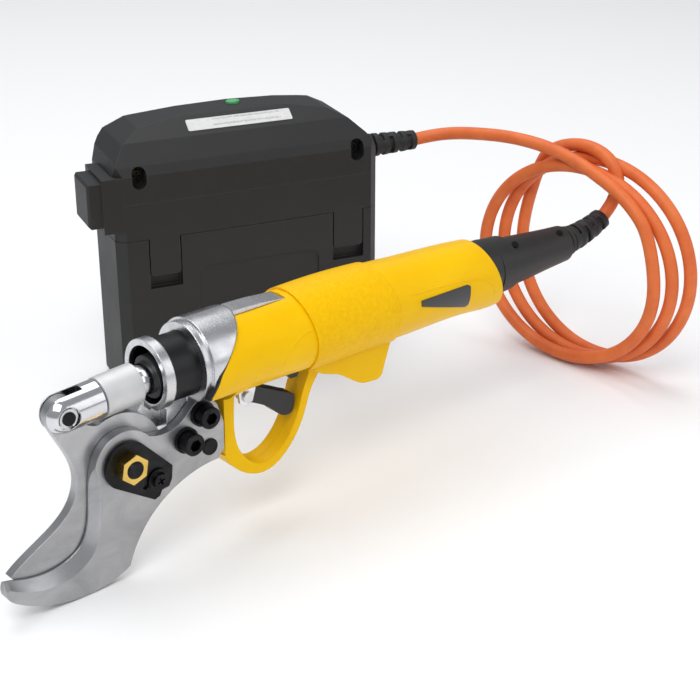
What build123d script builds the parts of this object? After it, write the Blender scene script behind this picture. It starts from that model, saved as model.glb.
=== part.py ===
"""Battery electric pruner: a pistol-free handset with a hooked bypass blade pair, its plug and cable, and
the battery pack with the cable adapter on top, standing behind it.

Row frame: millimetres, +X along the handset from the blades to the plug, +Y away from the blades' near
face, +Z up. The origin is the centre of the battery's base, on the ground.
"""
import math
import os

from build123d import *

os.makedirs("parts", exist_ok=True)

# ---------------------------------------------------------------- driving dimensions
hand_x, hand_y = -194.0, -148.0     # handset datum: lowest point of the fixed blade, on its near face
battery_yaw = -17.0                 # turn of the battery about +Z
mid_y = 7.4                         # handset's middle plane, from the near face of the fixed blade
screw_z = 88.6                      # height of the ball screw's axis

pivot = (21.5, 55.0)                # blade pivot, x and z in the handset's own frame
clevis_pin_at = (-3.5, 84.5)        # clevis pin with the blades shut
nut_pin_x = 58.0                    # pin of the ball nut's yoke with the blades shut
blade_thickness = 4.8
moving_near_y, moving_far_y = 5.0, 9.7
bolt_points = [(61.0, 66.1), (52.0, 56.1)]
dowel_point = (64.6, 48.4)
lock_screw_at = (35.3, 43.8)

tube_r, tube_bore_r = 14.4, 12.9
tube_front, tube_back = 40.8, 153.0
rim_x = 235.5                       # middle of the housing's rear rim
rim_slope = -0.30                   # the rim leans: its top lies further forward
wall = 2.2
guard_width = 12.0

cord_d = 7.0
battery_w, battery_d = 148.0, 46.0
battery_h, cap_seam_z = 88.0, 108.0
gap = 0.3                           # clearance between pieces that only stand side by side


# ---------------------------------------------------------------- planes and helpers
def side(y):
    """Upright plane of the handset at y, with x to the right and z up; its normal points at -Y."""
    return Plane(origin=(hand_x, hand_y + y, 0), x_dir=(1, 0, 0), z_dir=(0, -1, 0))


def cross(x, z=screw_z, y=mid_y):
    """Plane across the handset at x, its origin at (y, z); its normal points at +X."""
    return Plane(origin=(hand_x + x, hand_y + y, z), x_dir=(0, 1, 0), z_dir=(1, 0, 0))


u_dir = Vector(1, 0, 0).rotate(Axis.Z, battery_yaw)
v_dir = Vector(0, 1, 0).rotate(Axis.Z, battery_yaw)


def level(z):
    """Horizontal plane of the battery at z, with u along its width and v along its depth."""
    return Plane(origin=(0, 0, z), x_dir=u_dir, z_dir=(0, 0, 1))


def front(v):
    """Upright plane along the battery's width at depth v; its normal points out of the front."""
    return Plane(origin=v_dir * v, x_dir=u_dir, z_dir=v_dir * -1)


def flank(u):
    """Upright plane across the battery at u; its normal points along +u."""
    return Plane(origin=u_dir * u, x_dir=v_dir, z_dir=u_dir)


def save(part, name):
    part.label = name
    export_step(part, f"parts/{name}.step")
    print(name, round(part.volume))


def ring_part(name, plane, outer_r, inner_r, length):
    """A plain ring or bush that runs along the plane's normal."""
    with BuildPart() as ring:
        with BuildSketch(plane):
            Circle(outer_r)
            if inner_r:
                Circle(inner_r, mode=Mode.SUBTRACT)
        extrude(amount=length)
    save(ring.part, name)


# ================================================================ blades
near_face = side(0)
# the jaw's bevel: its line on the near face, and the line it has reached just short of the far face
bevel_near = [(4.6, 63), (8.2, 50), (7.2, 36), (3.5, 19.8), (-8, 11.6), (-22, 11.0), (-37.0, 17.0)]
bevel_far = [(3.2, 63), (4.0, 50), (2.7, 36), (-2.1, 23.4), (-12.9, 18.1), (-22, 17.5), (-36.4, 20.8)]

with BuildPart() as fixed_blade:
    with BuildSketch(side(blade_thickness)):
        with BuildLine():
            belly = Spline((-38.5, 20), (-39.2, 15), (-31, 7.5), (-14, 1.2), (0, 0), (12, 2), (20.3, 5.6))
            back = Spline((20.3, 5.6), (25, 16), (36, 29), (52, 38), (69, 41))
            Polyline((69, 41), (72.4, 45), (72.6, 58), (69.4, 67.8), (66, 72), (60, 73.6), (52.5, 67))
            Spline((52.5, 67), (46, 63.2), (40, 62.6), (33.8, 64))
            hub = CenterArc(pivot, 15.2, 36, 129)
            Line((33.8, 64), hub @ 0)
            Spline(hub @ 1, (4.6, 47), (3.4, 34), (-1, 22.6), (-12, 16.8), (-22, 16.2), (-34, 19))
            Line((-34, 19), (-38.5, 20))
        make_face()
        with Locations(pivot):
            Circle(5.05, mode=Mode.SUBTRACT)
        with Locations(*bolt_points):
            Circle(3.1, mode=Mode.SUBTRACT)
        with Locations(dowel_point):
            Circle(3.05, mode=Mode.SUBTRACT)
        with Locations(lock_screw_at):
            Circle(1.95, mode=Mode.SUBTRACT)
    extrude(amount=blade_thickness)
    # the bevel crosses the jaw's side and leaves a narrow land at its edge
    for depth, edge_line in ((blade_thickness - 0.1, bevel_far), (-0.01, bevel_near)):
        with BuildSketch(side(depth)):
            with BuildLine():
                Spline(*edge_line)
                Polyline(edge_line[-1], (-70, edge_line[-1][1] + 3), (-70, 90), (edge_line[0][0], 90),
                         edge_line[0])
            make_face()
    loft(mode=Mode.SUBTRACT, ruled=True)
save(fixed_blade.part, "fixed_blade")

with BuildPart() as moving_blade:
    with BuildSketch(side(moving_far_y)):
        with BuildLine():
            spine = Spline((-34, 19.6), (-16.5, 30.5), (-3.2, 41.5), (0.4, 53), (-3.6, 67), (-10.9, 82))
            arm_end = ThreePointArc((-10.9, 82), (-5.6, 91.9), (3.9, 84.4))
            Polyline((3.9, 84.4), (4.8, 79.6), (7.4, 76.2), (10.4, 74.8))
            hub = CenterArc(pivot, 21.4, 115, -170)
            Line((10.4, 74.8), hub @ 0)
            Spline(hub @ 1, (20, 30), (6, 19.5), (-8, 12.8), (-21, 12.3), (-34, 19.6))
        make_face()
        with Locations(pivot):
            Circle(6.05, mode=Mode.SUBTRACT)
        with Locations(clevis_pin_at):
            Circle(3.06, mode=Mode.SUBTRACT)
    extrude(amount=moving_far_y - moving_near_y)
save(moving_blade.part, "moving_blade")

with BuildPart() as pivot_bolt:
    with BuildSketch(side(moving_far_y + 0.15)):
        with Locations(pivot):
            Circle(10.0)
    extrude(amount=-2.6)
    with BuildSketch(side(moving_far_y + 0.15)):
        with Locations(pivot):
            Circle(6.0)
    extrude(amount=moving_far_y + 0.15 - moving_near_y + 0.05)
    with BuildSketch(side(moving_near_y)):
        with Locations(pivot):
            Circle(5.0)
    extrude(amount=moving_near_y + 2.1)
    with BuildSketch(side(-2.1)):
        with Locations(pivot):
            Circle(3.9)
    extrude(amount=5.9)
    chamfer(pivot_bolt.edges().filter_by(GeomType.CIRCLE).sort_by(Axis.Y)[0], length=0.6)
save(pivot_bolt.part, "pivot_bolt")

with BuildPart() as lock_plate:
    with BuildSketch(near_face):
        with BuildLine():
            Polyline((13.5, 47.2), (33.5, 34.2), (36.2, 35.2), (37.4, 37.6), (41.2, 38.2), (42.8, 41.4),
                     (43.4, 47.6), (30, 61.8))
            ThreePointArc((30, 61.8), (18.4, 65.4), (13.5, 47.2))
        make_face()
        with Locations(pivot):
            Circle(5.1, mode=Mode.SUBTRACT)
        with Locations(lock_screw_at):
            Circle(1.95, mode=Mode.SUBTRACT)
        with Locations((29.2, 42.3)):
            Circle(1.5, mode=Mode.SUBTRACT)
    extrude(amount=2.0)
save(lock_plate.part, "lock_plate")

with BuildPart() as pivot_nut:
    with BuildSketch(side(-2.1)):
        with Locations(pivot):
            RegularPolygon(radius=6.9, side_count=6, rotation=20)
            Circle(3.95, mode=Mode.SUBTRACT)
    extrude(amount=5.0)
    with BuildSketch(side(-2.1)):
        with Locations(pivot):
            Circle(6.6)
    extrude(amount=5.0, taper=-8, mode=Mode.INTERSECT)
save(pivot_nut.part, "pivot_nut")

with BuildPart() as lock_screw:
    with BuildSketch(side(-2.05)):
        with Locations(lock_screw_at):
            Circle(5.0)
    extrude(amount=1.0)
    with BuildSketch(side(-3.05)):
        with Locations(lock_screw_at):
            Circle(3.6)
    extrude(amount=2.0, taper=12)
    with BuildSketch(side(-2.05)):
        with Locations(lock_screw_at):
            Circle(1.9)
    extrude(amount=-6.0)
    with BuildSketch(side(-5.05)):
        with Locations(lock_screw_at):
            Rectangle(3.8, 0.9, rotation=25)
            Rectangle(0.9, 3.8, rotation=25)
    extrude(amount=-1.6, mode=Mode.SUBTRACT)
save(lock_screw.part, "lock_screw")

with BuildPart() as blade_washers:
    with BuildSketch(near_face):
        with Locations(*bolt_points):
            Circle(5.9)
            Circle(3.15, mode=Mode.SUBTRACT)
    extrude(amount=1.6)
save(blade_washers.part, "blade_washers")

with BuildPart() as blade_bolts:
    with BuildSketch(side(-1.65)):
        with Locations(*bolt_points):
            Circle(5.0)
    extrude(amount=6.0)
    chamfer(blade_bolts.faces().sort_by(Axis.Y)[0:2].edges(), length=0.5)
    with BuildSketch(side(-7.65)):
        with Locations(*bolt_points):
            RegularPolygon(radius=2.9, side_count=6)
    extrude(amount=-3.2, mode=Mode.SUBTRACT)
    with BuildSketch(side(-1.65)):
        with Locations(*bolt_points):
            Circle(3.0)
    extrude(amount=-13.0)
save(blade_bolts.part, "blade_bolts")

with BuildPart() as dowel_pin:
    with BuildSketch(side(-0.9)):
        with Locations(dowel_point):
            Circle(3.0)
    extrude(amount=-12.0)
    with BuildSketch(side(-0.05)):
        with Locations(dowel_point):
            Circle(3.9)
    extrude(amount=1.1)
    chamfer(dowel_pin.faces().sort_by(Axis.Y)[0].edges(), length=0.4)
save(dowel_pin.part, "dowel_pin")


# ================================================================ push rod and clevis
rod_run = Vector(nut_pin_x - clevis_pin_at[0], 0, screw_z - clevis_pin_at[1])
rod_length = rod_run.length
rod_dir = rod_run.normalized()
rod_start = Vector(hand_x + clevis_pin_at[0], hand_y + mid_y, clevis_pin_at[1])
clevis_r, slot_half = 8.6, 2.75


def along_rod(s):
    """Plane across the push rod, s from the clevis pin; its normal points at the ball nut."""
    return Plane(origin=rod_start + rod_dir * s, x_dir=(0, 1, 0), z_dir=rod_dir)


def beside_rod(y):
    """Upright plane whose x runs along the push rod from the clevis pin."""
    return Plane(origin=rod_start + Vector(0, y - mid_y, 0), x_dir=rod_dir, z_dir=(0, -1, 0))


with BuildPart() as clevis:
    with BuildSketch(along_rod(0)):
        Circle(clevis_r)
    extrude(amount=18)
    # ball-shaped front end
    with Locations(rod_start):
        Sphere(clevis_r)
    with BuildSketch(beside_rod(mid_y + slot_half)):
        with Locations((-0.9, 0)):
            Rectangle(22.2, 30)
    extrude(amount=2 * slot_half, mode=Mode.SUBTRACT)
    with BuildSketch(beside_rod(mid_y + 12)):
        Circle(3.05)
    extrude(amount=24, mode=Mode.SUBTRACT)
    with BuildSketch(beside_rod(1.7)):
        Circle(4.9)
    extrude(amount=4, mode=Mode.SUBTRACT)
    with BuildSketch(along_rod(18)):
        Circle(5.02)
    extrude(amount=-6, mode=Mode.SUBTRACT)
    chamfer(clevis.faces().filter_by(GeomType.PLANE).sort_by(Axis.X)[-1].outer_wire().edges(), length=0.8)
save(clevis.part, "clevis")

with BuildPart() as clevis_pin:
    with BuildSketch(beside_rod(14.6)):
        Circle(3.0)
    extrude(amount=14.6)
    with BuildSketch(beside_rod(1.1)):
        Circle(3.0)
        Circle(2.3, mode=Mode.SUBTRACT)
    extrude(amount=0.7, mode=Mode.SUBTRACT)
save(clevis_pin.part, "clevis_pin")

with BuildPart() as e_clip:
    with BuildSketch(beside_rod(1.05)):
        Circle(4.3)
        Circle(2.35, mode=Mode.SUBTRACT)
        with Locations((0, -3.5)):
            Rectangle(2.6, 4.5, mode=Mode.SUBTRACT)
    extrude(amount=0.6)
save(e_clip.part, "e_clip")

ring_part("rod_sleeve", along_rod(18.1), 8.9, 6.05, 17.8)

with BuildPart() as push_rod:
    with BuildSketch(along_rod(12.2)):
        Circle(4.97)
    extrude(amount=6)
    with BuildSketch(along_rod(18.1)):
        Circle(6.0)
    extrude(amount=18)
    with BuildSketch(along_rod(36)):
        Circle(7.1)
    extrude(amount=rod_length - 36 - 9)
    with BuildSketch(beside_rod(mid_y + 4.0)):
        with Locations((rod_length, 0)):
            Circle(7.5)
        with Locations((rod_length - 7, 0)):
            Rectangle(12, 13)
        with Locations((rod_length, 0)):
            Circle(4.65, mode=Mode.SUBTRACT)
    extrude(amount=8)
    with BuildSketch(beside_rod(mid_y + 12)):
        with Locations((rod_length, 0)):
            Circle(4.65)
    extrude(amount=24, mode=Mode.SUBTRACT)
save(push_rod.part, "push_rod")

ring_part("rod_boot", along_rod(43), 9.7, 7.15, 5)

# ================================================================ ball screw drive
carriage_front, carriage_back = 69.5, 121.0
screw_tip, screw_back = 104.5, 158.0

with BuildPart() as ball_nut:
    with BuildSketch(cross(carriage_front)):
        Circle(tube_bore_r - 0.35)
    extrude(amount=carriage_back - carriage_front)
    with BuildSketch(cross(nut_pin_x - 5.5)):
        Circle(tube_bore_r - 0.35)
        Rectangle(9.0, 30, mode=Mode.SUBTRACT)
    extrude(amount=carriage_front - nut_pin_x + 5.5)
    with BuildSketch(cross(carriage_front + 3)):
        Circle(6.4)
    extrude(amount=28.5, mode=Mode.SUBTRACT)
    with BuildSketch(cross(carriage_back)):
        Circle(5.06)
    extrude(amount=-30, mode=Mode.SUBTRACT)
    with BuildSketch(side(mid_y + 20)):
        with Locations((nut_pin_x, screw_z)):
            Circle(1.95)
    extrude(amount=40, mode=Mode.SUBTRACT)
save(ball_nut.part, "ball_nut")

with BuildPart() as nut_pin:
    with BuildSketch(side(mid_y + 10.5)):
        with Locations((nut_pin_x, screw_z)):
            Circle(1.9)
    extrude(amount=21)
save(nut_pin.part, "nut_pin")

ring_part("ball_screw", cross(screw_tip), 5.0, 0, screw_back - screw_tip)
ring_part("screw_bearing", cross(153.4), 12.4, 5.06, 4.4)
ring_part("screw_tube", cross(tube_front + 0.03), tube_r, tube_bore_r, tube_back - tube_front - 0.03)
ring_part("planetary_gearbox", cross(158.3), 12.6, 0, 15)
ring_part("motor", cross(173.5), 12.5, 0, 29)


# ================================================================ aluminium head
# the joint between the head and the housing, seen from the side: slanted above, upright below
joint_line = [(82.8, 109.8), (76.0, 101.5), (63.0, 87.5), (58.6, 78.0), (58.6, 76.0), (73.0, 75.2),
              (73.0, 40.0)]

with BuildPart() as head_casting:
    for start, length, outer in ((38.6, 4.6, 15.9), (57.2, 4.0, 18.4), (60.5, 24, 19.6)):
        with BuildSketch(cross(start)):
            Circle(outer)
        extrude(amount=length)
    # keel under the tube, with the lug that carries the blade
    with BuildSketch(side(17.4)):
        Polygon((41.5, 84), (41.5, 76), (46.6, 70), (46, 60), (47.5, 50), (55, 44.6), (70.6, 44.6),
                (72.0, 60), (72.0, 84), align=None)
    extrude(amount=12.3)
    # foot on the far side, behind the moving blade
    with BuildSketch(side(17.4)):
        with Locations((37.5, 66.5)):
            Circle(5.5)
        Polygon((38, 61.0), (50, 61), (50, 80), (41.5, 80), (34, 70.8), align=None)
    extrude(amount=7.2)
    # everything behind the joint with the housing goes
    with BuildSketch(side(mid_y + 30)):
        Polygon(*joint_line, (120, 40), (120, 109.8), align=None)
    extrude(amount=60, mode=Mode.SUBTRACT)
    # spine that runs back over the housing
    with BuildSketch(side(mid_y + 5)):
        Polygon((68, 100), (68, 106.6), (84, 107.4), (97, 107.0), (110, 105.8), (110, 104.0), (79.0, 104.6),
                (76.0, 101.5), align=None)
    extrude(amount=10)
    with BuildSketch(cross(tube_front)):
        Circle(tube_r + 0.03)
    extrude(amount=90, mode=Mode.SUBTRACT)
    with BuildSketch(cross(30)):
        Circle(tube_bore_r + 0.05)
    extrude(amount=20, mode=Mode.SUBTRACT)
    # flat seat for the fixed blade on the near side
    with BuildSketch(side(blade_thickness + 0.05)):
        with Locations((55, 57)):
            Rectangle(60, 34)
    extrude(amount=30, mode=Mode.SUBTRACT)
    with BuildSketch(side(20)):
        with Locations(*bolt_points):
            Circle(3.1)
        with Locations(dowel_point):
            Circle(3.05)
    extrude(amount=20, mode=Mode.SUBTRACT)
save(head_casting.part, "head_casting")


# ================================================================ housing
# sections of the round body: x, height of its centre, radius
body_sections = [(52, 86.9, 18.9), (88, 87.0, 19.0), (108, 87.1, 19.3), (126, 87.1, 19.8), (150, 86.9, 19.8),
                 (172, 86.2, 19.3), (192, 85.7, 18.7), (214, 85.1, 18.2), (246, 84.3, 17.0)]
floor_z, floor_top_z = 72.0, 73.9   # flat underside above the trigger


def body_solid(inset):
    """The round body as a solid, its surface moved in by inset (negative moves it out)."""
    with BuildPart() as body:
        for x, z, r in body_sections:
            with BuildSketch(cross(x, z)):
                Circle(r - inset)
        loft()
    return body.part


body_outer = body_solid(0)
body_inner = body_solid(wall)

with BuildPart() as housing:
    add(body_outer)
    with BuildSketch(side(mid_y + 30)):
        with Locations((101.8, floor_z - 10)):
            Rectangle(44.4, 20)
    extrude(amount=60, mode=Mode.SUBTRACT)
    # trigger guard with its finger hole
    with BuildSketch(side(mid_y + guard_width / 2)):
        with BuildLine():
            Spline((69.5, 80), (71.4, 60), (73.4, 40), (79.5, 31.4), (87, 26.2), (94, 24.2), (101, 25.2),
                   (108, 29.6), (115, 37.6), (119.8, 47), (123.5, 57), (129.5, 66.5), (132, 80))
            Line((132, 80), (69.5, 80))
        make_face()
        with BuildLine():
            Spline((79.6, 71.9), (79.4, 60), (79.6, 48), (81.6, 40.6), (86.4, 33.6), (93.6, 29.2),
                   (100.6, 30.2), (107, 34.4), (112.4, 41.2), (116.2, 49.4), (118.9, 58),
                   (122.6, 66.5), (124, 71.9))
            Line((124, 71.9), (79.6, 71.9))
        make_face(mode=Mode.SUBTRACT)
    extrude(amount=guard_width)
    # hand stop below the grip
    with BuildSketch(side(mid_y + 11)):
        with BuildLine():
            Spline((120, 72), (126, 66.0), (136, 62.4), (144, 57.2), (152, 53.0))
            Line((152, 53.0), (159.2, 52.4))
            ThreePointArc((159.2, 52.4), (162.4, 53.6), (163.8, 56.6))
            Line((163.8, 56.6), (168.5, 70))
            Line((168.5, 70), (120, 72))
        make_face()
    extrude(amount=22)
    add(body_inner, mode=Mode.SUBTRACT)
    # floor above the trigger
    with BuildSketch(side(mid_y + 11.9)):
        with Locations((101.8, (floor_z + floor_top_z) / 2)):
            Rectangle(48, floor_top_z - floor_z)
    extrude(amount=23.8)
    # cut along the joint with the head and along the leaning rear rim
    with BuildSketch(side(mid_y + 30)):
        Polygon(*[(x + 1, z) for x, z in joint_line], (30, 40), (30, 109.8), align=None)
        Polygon((rim_x + rim_slope * 30, 115), (rim_x - rim_slope * 30, 55), (280, 55), (280, 115),
                align=None)
    extrude(amount=60, mode=Mode.SUBTRACT)
    # notch for the head's spine
    with BuildSketch(side(mid_y + 5 + gap)):
        Polygon((60, 103.5), (84, 104.1), (110.3, 103.7), (110.3, 120), (60, 120), align=None)
    extrude(amount=10 + 2 * gap, mode=Mode.SUBTRACT)

housing_screw_points = [(76.0, 55), (126.8, 66.0), (152, 60), (212, 74.5)]
with BuildPart() as screw_room:
    with BuildSketch(side(mid_y + 30)):
        with Locations(*housing_screw_points):
            Circle(1.55)
    extrude(amount=34)
    with BuildSketch(side(mid_y + 30)):
        with Locations(*housing_screw_points):
            Circle(2.85)
    extrude(amount=27)

with BuildPart() as tail_boss:
    with BuildSketch(side(mid_y + 12)):
        with Locations(housing_screw_points[3]):
            Circle(3.6)
    extrude(amount=19)
    add(body_solid(wall - 0.5), mode=Mode.INTERSECT)

with BuildPart() as left_housing:
    add(housing.part)
    add(tail_boss.part)
    add(screw_room.part, mode=Mode.SUBTRACT)
    split(bisect_by=side(mid_y), keep=Keep.TOP)
save(left_housing.part, "left_housing")

with BuildPart() as right_housing:
    add(housing.part)
    add(tail_boss.part)
    add(screw_room.part, mode=Mode.SUBTRACT)
    split(bisect_by=side(mid_y), keep=Keep.BOTTOM)
save(right_housing.part, "right_housing")

with BuildPart() as housing_screws:
    with BuildSketch(side(mid_y + 3.02)):
        with Locations(*housing_screw_points):
            Circle(2.8)
    extrude(amount=-1.8)
    with BuildSketch(side(mid_y + 3.02)):
        with Locations(*housing_screw_points):
            Circle(1.5)
    extrude(amount=6.8)
    with BuildSketch(side(mid_y + 4.82)):
        with Locations(*housing_screw_points):
            Rectangle(3.4, 0.8)
            Rectangle(0.8, 3.4)
    extrude(amount=1.0, mode=Mode.SUBTRACT)
save(housing_screws.part, "housing_screws")

with BuildPart() as head_gasket:
    add(body_solid(0.1))
    with BuildSketch(cross(30)):
        Circle(17.6)
    extrude(amount=220, mode=Mode.SUBTRACT)
    with BuildSketch(side(mid_y + 30)):
        Polygon(*[(x + 0.1, z) for x, z in joint_line[:5]],
                *[(x + 0.9, z) for x, z in joint_line[4::-1]], align=None)
    extrude(amount=60, mode=Mode.INTERSECT)
    with BuildSketch(side(mid_y + 5 + gap)):
        Polygon((60, 103.5), (120, 103.5), (120, 120), (60, 120), align=None)
    extrude(amount=10 + 2 * gap, mode=Mode.SUBTRACT)
save(head_gasket.part, "head_gasket")

grip_front, grip_back = 116.0, 164.5
with BuildPart() as grip_sleeve:
    add(body_solid(-0.9))
    with BuildSketch(side(mid_y + 30)):
        with BuildLine():
            Spline((grip_front - 3, 112), (grip_front - 1, 98), (grip_front + 1, 84), (grip_front - 2, 60))
            Line((grip_front - 2, 60), (grip_back + 5, 60))
            Spline((grip_back + 5, 60), (grip_back + 3, 80), (grip_back + 1, 96), (grip_back - 4, 112))
            Line((grip_back - 4, 112), (grip_front - 3, 112))
        make_face()
    extrude(amount=60, mode=Mode.INTERSECT)
    add(body_outer, mode=Mode.SUBTRACT)
    with BuildSketch(side(mid_y + 12)):
        with Locations((grip_front + 15, 60)):
            Rectangle(90, 24)
    extrude(amount=24, mode=Mode.SUBTRACT)
save(grip_sleeve.part, "grip_sleeve")

with BuildPart() as badge:
    add(body_solid(-0.5))
    with BuildSketch(side(-2)):
        Polygon((180.5, 89.4), (180.5, 86.6), (211.5, 77.0), (213.5, 77.8), (213.5, 88.0), (211.8, 89.0),
                align=None)
    extrude(amount=20, mode=Mode.INTERSECT)
    add(body_solid(-0.02), mode=Mode.SUBTRACT)
save(badge.part, "badge")


# ================================================================ trigger
trigger_at = (87.0, 65.0)
with BuildPart() as trigger_bracket:
    with BuildSketch(side(mid_y + 6)):
        Polygon((82, 71.9), (83, 62.5), (86, 60.6), (90, 62), (93, 71.9), align=None)
    extrude(amount=12)
    with BuildSketch(side(mid_y + 4.4)):
        Rectangle(400, 140.2, align=(Align.CENTER, Align.CENTER))
    extrude(amount=8.8, mode=Mode.SUBTRACT)
    with BuildSketch(side(mid_y + 6)):
        with Locations((87.5, 71.2)):
            Rectangle(11, 1.4)
    extrude(amount=12)
    with BuildSketch(side(mid_y + 10)):
        with Locations(trigger_at):
            Circle(1.53)
    extrude(amount=20, mode=Mode.SUBTRACT)
save(trigger_bracket.part, "trigger_bracket")

with BuildPart() as trigger_pin:
    with BuildSketch(side(mid_y + 6.6)):
        with Locations(trigger_at):
            Circle(1.5)
    extrude(amount=13.2)
    with BuildSketch(side(mid_y - 6.05)):
        with Locations(trigger_at):
            Circle(2.6)
    extrude(amount=1.2)
save(trigger_pin.part, "trigger_pin")

with BuildPart() as trigger:
    with BuildSketch(side(mid_y + 4.1)):
        with BuildLine():
            Spline((84.6, 63.2), (92, 59.6), (102, 53.4), (109.5, 47.6), (113.2, 47.8), (115, 51.4),
                   (115.2, 56.6))
            Spline((115.2, 56.6), (107, 60.6), (97, 65.6), (89, 68.4), (84.4, 67.2), (84.6, 63.2))
        make_face()
    extrude(amount=8.2)
    with BuildSketch(side(mid_y + 10)):
        with Locations(trigger_at):
            Circle(1.56)
    extrude(amount=20, mode=Mode.SUBTRACT)
    # groove for the return spring
    with BuildSketch(side(mid_y + 1.8)):
        with Locations(trigger_at):
            Circle(4.6)
    extrude(amount=3.6, mode=Mode.SUBTRACT)
save(trigger.part, "trigger")

spring_side = side(mid_y + 1.4)
spring_plane = spring_side.shift_origin(spring_side.from_local_coords((*trigger_at, 0)))
ring_part("trigger_spring", spring_plane, 2.9, 1.75, 2.8)

with BuildPart() as trigger_stop:
    with BuildSketch(side(mid_y + 4)):
        Polygon((112.2, 71.9), (112.2, 66.4), (113.6, 64.8), (117.0, 64.8), (118.0, 66.4), (118.0, 71.9),
                align=None)
    extrude(amount=8)
save(trigger_stop.part, "trigger_stop")

with BuildPart() as control_board:
    with BuildSketch(Plane(origin=(hand_x + 178, hand_y + mid_y, 71.6))):
        Rectangle(48, 15)
    extrude(amount=1.4)
    with BuildSketch(Plane(origin=(hand_x + 178, hand_y + mid_y, 73.0))):
        with GridLocations(9, 7, 5, 2):
            Rectangle(5, 4)
    extrude(amount=1.6)
save(control_board.part, "control_board")


# ================================================================ tail socket and plug
plug_z = 84.0
collar_x, collar_length = 241.6, 11.4


contact_points = [(-3.6, 0), (3.6, 0), (0, 3.6)]

with BuildPart() as tail_socket:
    for x, r in ((222, 15.3), (250, 14.3)):
        with BuildSketch(cross(x, 84.8)):
            Circle(r)
    loft()
    with BuildSketch(cross(collar_x - gap, plug_z)):
        Rectangle(60, 60)
    extrude(amount=20, mode=Mode.SUBTRACT)
    with BuildSketch(cross(224, plug_z)):
        Circle(9.6)
    extrude(amount=30, mode=Mode.SUBTRACT)
    with BuildSketch(cross(220, plug_z)):
        with Locations(*contact_points):
            Circle(1.22)
    extrude(amount=10, mode=Mode.SUBTRACT)
save(tail_socket.part, "tail_socket")

with BuildPart() as socket_contacts:
    with BuildSketch(cross(222.2, plug_z)):
        with Locations(*contact_points):
            Circle(1.2)
    extrude(amount=13.8)
    with BuildSketch(cross(218, plug_z)):
        with Locations(*contact_points):
            Circle(0.8)
    extrude(amount=4.2)
save(socket_contacts.part, "socket_contacts")

with BuildPart() as locking_collar:
    for x, r in ((226, 15.9), (262, 13.4)):
        with BuildSketch(cross(x, 84.4)):
            Circle(r)
    loft()
    # finger flats round the collar
    with BuildSketch(cross(226, 84.4)):
        RegularPolygon(radius=16.6, side_count=10, rotation=9)
    extrude(amount=40, taper=3, mode=Mode.INTERSECT)
    with BuildSketch(cross(collar_x, plug_z)):
        Rectangle(60, 60)
    extrude(amount=collar_length, mode=Mode.INTERSECT)
    with BuildSketch(cross(220, plug_z)):
        Circle(10.2)
    extrude(amount=60, mode=Mode.SUBTRACT)
save(locking_collar.part, "locking_collar")

# plug body: x, radius, height of the centre
plug_sections = [(collar_x + collar_length + gap, 12.5, 84.2), (262, 12.2, 84.0), (278, 10.9, 83.8),
                 (292, 9.9, 83.7), (300, 9.4, 83.7)]
with BuildPart() as plug_body:
    for x, r, z in plug_sections:
        with BuildSketch(cross(x, z)):
            Circle(r)
    loft()
    # spigot that reaches through the collar into the socket
    with BuildSketch(cross(225.5, plug_z)):
        Circle(9.4)
    extrude(amount=40)
    with BuildSketch(cross(225.5, plug_z)):
        with Locations(*contact_points):
            Circle(1.25)
    extrude(amount=12, mode=Mode.SUBTRACT)
    chamfer(plug_body.faces().sort_by(Axis.X)[-1].edges(), length=2.0)
save(plug_body.part, "plug_body")

plug_screw_points = [(256.5, 14.4), (291.5, 11.2)]
with BuildPart() as plug_screws:
    for x, reach in plug_screw_points:
        spot = Plane(origin=(hand_x + x, hand_y + mid_y, plug_z), x_dir=(1, 0, 0), z_dir=(0, -0.5, 0.866))
        with BuildSketch(spot.offset(reach - 3.0)):
            Circle(1.9)
        extrude(amount=2.0)
save(plug_screws.part, "plug_screws")

# plug's strain relief: x, z, tilt of the section, radius
relief_sections = [(300.2, 83.9, 0, 7.4), (311, 84.9, 10, 7.0), (321.5, 87.3, 19, 6.2),
                   (330.4, 90.6, 27, 5.4)]


def relief_plane(x, z, tilt):
    run = Vector(math.cos(math.radians(tilt)), 0, math.sin(math.radians(tilt)))
    return Plane(origin=(hand_x + x, hand_y + mid_y, z), x_dir=(0, 1, 0), z_dir=run)


with BuildPart() as plug_relief:
    for x, z, tilt, r in relief_sections:
        with BuildSketch(relief_plane(x, z, tilt)):
            Circle(r)
    loft()
save(plug_relief.part, "plug_relief")


# ================================================================ battery
half_w, half_d = battery_w / 2, battery_d / 2
leg_spans = [(-57.0, -40.5), (47.0, 64.0)]      # the adapter's two legs, along the width
leg_foot_z, leg_depth = 67.5, 4.0
panel_span, panel_top_z = (-30.5, 38.0), 69.0   # recessed front panel
case_parting_v = 2.0


def footprint(z, inset=0.0):
    """Sketch of the battery's outline at z: a rectangle with bevelled corners."""
    with BuildSketch(level(z)) as outline:
        Rectangle(battery_w - 2 * inset, battery_d - 2 * inset)
        chamfer(outline.vertices(), length=5.0 - 0.5 * inset)
    return outline.sketch


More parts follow.
